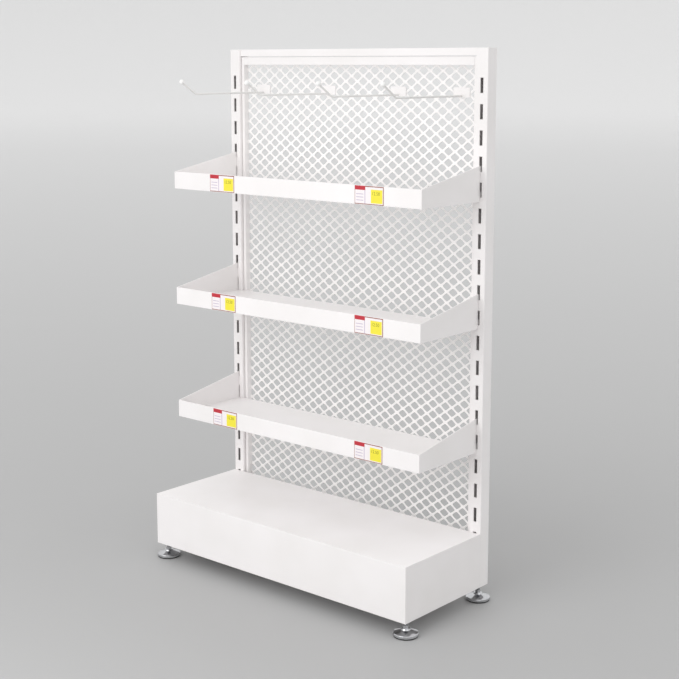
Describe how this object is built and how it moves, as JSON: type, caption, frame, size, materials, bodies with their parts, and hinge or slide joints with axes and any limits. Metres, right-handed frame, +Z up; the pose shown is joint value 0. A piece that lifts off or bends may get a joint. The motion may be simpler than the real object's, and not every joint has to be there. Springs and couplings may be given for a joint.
{
  "type": "gondola shelving unit",
  "caption": "Free-standing store shelving unit with slotted uprights, diamond-mesh back, hook-on tray shelves, box base, display hooks and levelling feet.",
  "frame": {"origin": "on the floor, under the middle of the unit's bounding box", "axes": "+X to the shopper's right along the shelves, -Y towards the shopper, +Z up"},
  "size_m": [0.967, 0.39, 1.5],
  "materials": {
    "white_steel": "white powder coat, fine satin",
    "mesh": "white powder coat on diamond mesh",
    "white_plastic": "moulded white plastic",
    "label_card": "printed price card, red bar and yellow price field",
    "chrome": "bright chrome plate",
    "zinc": "zinc-plated steel",
    "rubber": "black rubber"
  },
  "bodies": {
    "frame": {"base_front_panel": "white_steel", "base_side_left": "white_steel", "base_side_right": "white_steel", "bottom_rail": "white_steel", "foot_lock_nuts": "chrome", "foot_weld_nuts": "zinc", "panel_bottom_member": "white_steel", "panel_mesh": "mesh", "panel_stile_left": "white_steel", "panel_stile_right": "white_steel", "panel_top_member": "white_steel", "rail_bolts": "zinc", "rail_weld_nuts": "zinc", "top_rail": "white_steel", "upright_cap_left": "white_plastic", "upright_cap_right": "white_plastic", "upright_left": "white_steel", "upright_right": "white_steel"},
    "shelf_1": {"shelf_1_deck": "white_steel", "shelf_1_bracket_left": "white_steel", "shelf_1_bracket_right": "white_steel", "shelf_1_stiffener": "white_steel", "shelf_1_labels": "label_card"},
    "shelf_2": {"shelf_2_deck": "white_steel", "shelf_2_bracket_left": "white_steel", "shelf_2_bracket_right": "white_steel", "shelf_2_stiffener": "white_steel", "shelf_2_labels": "label_card"},
    "shelf_3": {"shelf_3_deck": "white_steel", "shelf_3_bracket_left": "white_steel", "shelf_3_bracket_right": "white_steel", "shelf_3_stiffener": "white_steel", "shelf_3_labels": "label_card"},
    "hook_1": {"hook_1_plate": "white_steel", "hook_1_wire": "white_steel", "hook_1_ball": "white_plastic"},
    "hook_2": {"hook_2_plate": "white_steel", "hook_2_wire": "white_steel", "hook_2_ball": "white_plastic"},
    "hook_3": {"hook_3_plate": "white_steel", "hook_3_wire": "white_steel", "hook_3_ball": "white_plastic"},
    "hook_4": {"hook_4_plate": "white_steel", "hook_4_wire": "white_steel", "hook_4_ball": "white_plastic"},
    "base_deck": {"base_deck": "white_steel", "base_deck_stiffener": "white_steel"},
    "foot_pad_front_left": {"foot_pad_front_left": "chrome", "foot_sole_front_left": "rubber"},
    "foot_stem_front_left": {"foot_stem_front_left": "chrome"},
    "foot_pad_front_right": {"foot_pad_front_right": "chrome", "foot_sole_front_right": "rubber"},
    "foot_stem_front_right": {"foot_stem_front_right": "chrome"},
    "foot_pad_rear_left": {"foot_pad_rear_left": "chrome", "foot_sole_rear_left": "rubber"},
    "foot_stem_rear_left": {"foot_stem_rear_left": "chrome"},
    "foot_pad_rear_right": {"foot_pad_rear_right": "chrome", "foot_sole_rear_right": "rubber"},
    "foot_stem_rear_right": {"foot_stem_rear_right": "chrome"}
  },
  "joints": [
    {"name": "base_deck_lift", "type": "slide", "parent": "frame", "child": "base_deck", "axis": [0, 0, 1], "range_m": [0, 0.15]},
    {"name": "shelf_1_unhook", "type": "slide", "parent": "frame", "child": "shelf_1", "axis": [0, 0, 1], "range_m": [0, 0.01]},
    {"name": "shelf_2_unhook", "type": "slide", "parent": "frame", "child": "shelf_2", "axis": [0, 0, 1], "range_m": [0, 0.01]},
    {"name": "shelf_3_unhook", "type": "slide", "parent": "frame", "child": "shelf_3", "axis": [0, 0, 1], "range_m": [0, 0.01]},
    {"name": "hook_1_unhook", "type": "slide", "parent": "frame", "child": "hook_1", "axis": [0, 0, 1], "range_m": [0, 0.009]},
    {"name": "hook_2_unhook", "type": "slide", "parent": "frame", "child": "hook_2", "axis": [0, 0, 1], "range_m": [0, 0.009]},
    {"name": "hook_3_unhook", "type": "slide", "parent": "frame", "child": "hook_3", "axis": [0, 0, 1], "range_m": [0, 0.009]},
    {"name": "hook_4_unhook", "type": "slide", "parent": "frame", "child": "hook_4", "axis": [0, 0, 1], "range_m": [0, 0.009]},
    {"name": "foot_front_left_height", "type": "slide", "parent": "frame", "child": "foot_pad_front_left", "axis": [0, 0, -1], "range_m": [-0.0071, 0.0246]},
    {"name": "foot_front_left_turn", "type": "hinge", "parent": "foot_pad_front_left", "child": "foot_stem_front_left", "pos_m": [-0.45, -0.1615, 0.05], "axis": [0, 0, -1], "range_deg": [-1466, 5066]},
    {"name": "foot_front_right_height", "type": "slide", "parent": "frame", "child": "foot_pad_front_right", "axis": [0, 0, -1], "range_m": [-0.0071, 0.0246]},
    {"name": "foot_front_right_turn", "type": "hinge", "parent": "foot_pad_front_right", "child": "foot_stem_front_right", "pos_m": [0.45, -0.1615, 0.05], "axis": [0, 0, -1], "range_deg": [-1466, 5066]},
    {"name": "foot_rear_left_height", "type": "slide", "parent": "frame", "child": "foot_pad_rear_left", "axis": [0, 0, -1], "range_m": [-0.0071, 0.0246]},
    {"name": "foot_rear_left_turn", "type": "hinge", "parent": "foot_pad_rear_left", "child": "foot_stem_rear_left", "pos_m": [-0.45, 0.1615, 0.05], "axis": [0, 0, -1], "range_deg": [-1466, 5066]},
    {"name": "foot_rear_right_height", "type": "slide", "parent": "frame", "child": "foot_pad_rear_right", "axis": [0, 0, -1], "range_m": [-0.0071, 0.0246]},
    {"name": "foot_rear_right_turn", "type": "hinge", "parent": "foot_pad_rear_right", "child": "foot_stem_rear_right", "pos_m": [0.45, 0.1615, 0.05], "axis": [0, 0, -1], "range_deg": [-1466, 5066]}
  ],
  "couplings": [
    {"joint": "foot_front_left_turn", "follows": "foot_front_left_height", "rad_per_m": 3590.4},
    {"joint": "foot_front_right_turn", "follows": "foot_front_right_height", "rad_per_m": 3590.4},
    {"joint": "foot_rear_left_turn", "follows": "foot_rear_left_height", "rad_per_m": 3590.4},
    {"joint": "foot_rear_right_turn", "follows": "foot_rear_right_height", "rad_per_m": 3590.4}
  ]
}
